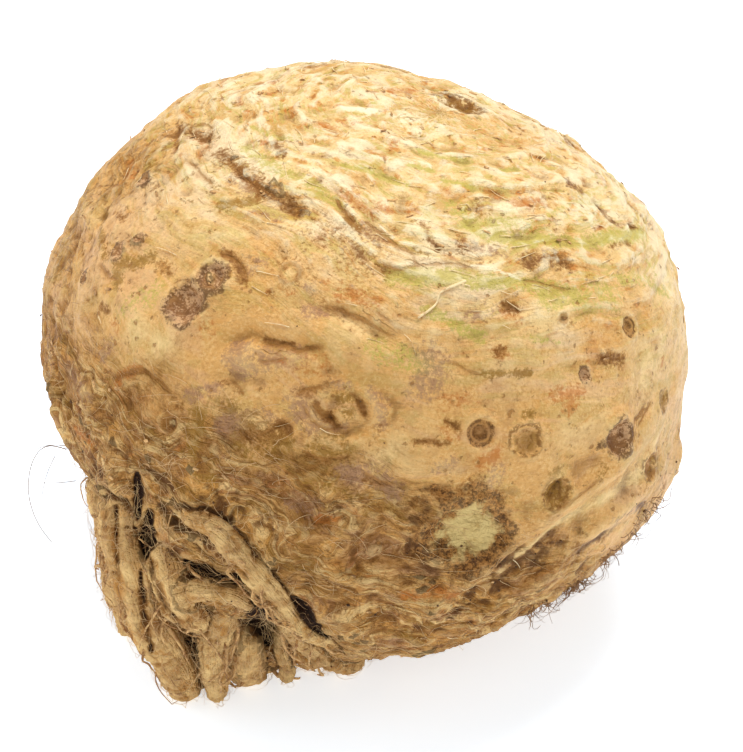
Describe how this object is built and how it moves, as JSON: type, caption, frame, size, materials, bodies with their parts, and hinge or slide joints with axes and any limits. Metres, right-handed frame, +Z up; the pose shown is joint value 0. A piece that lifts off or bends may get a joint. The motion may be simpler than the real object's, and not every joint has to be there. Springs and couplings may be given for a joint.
{
  "type": "celeriac",
  "caption": "Rough rounded celeriac root with leaf-scar rings round its crown, side-root scars and a tuft of trimmed root stubs low on one side.",
  "frame": {"origin": "on the surface the celeriac lies on, under the middle of its box", "axes": "+Z up from that surface; -Y towards the viewer of the picture; +X to that viewer's right; the root stubs are low at -X -Y and the crown is on top, leaning a little to +X"},
  "size_m": [0.1302, 0.1262, 0.1086],
  "materials": {
    "skin": "matt, waxy cream-brown skin with brown corky marks"
  },
  "bodies": {
    "root": {"celeriac": "skin"}
  },
  "joints": []
}
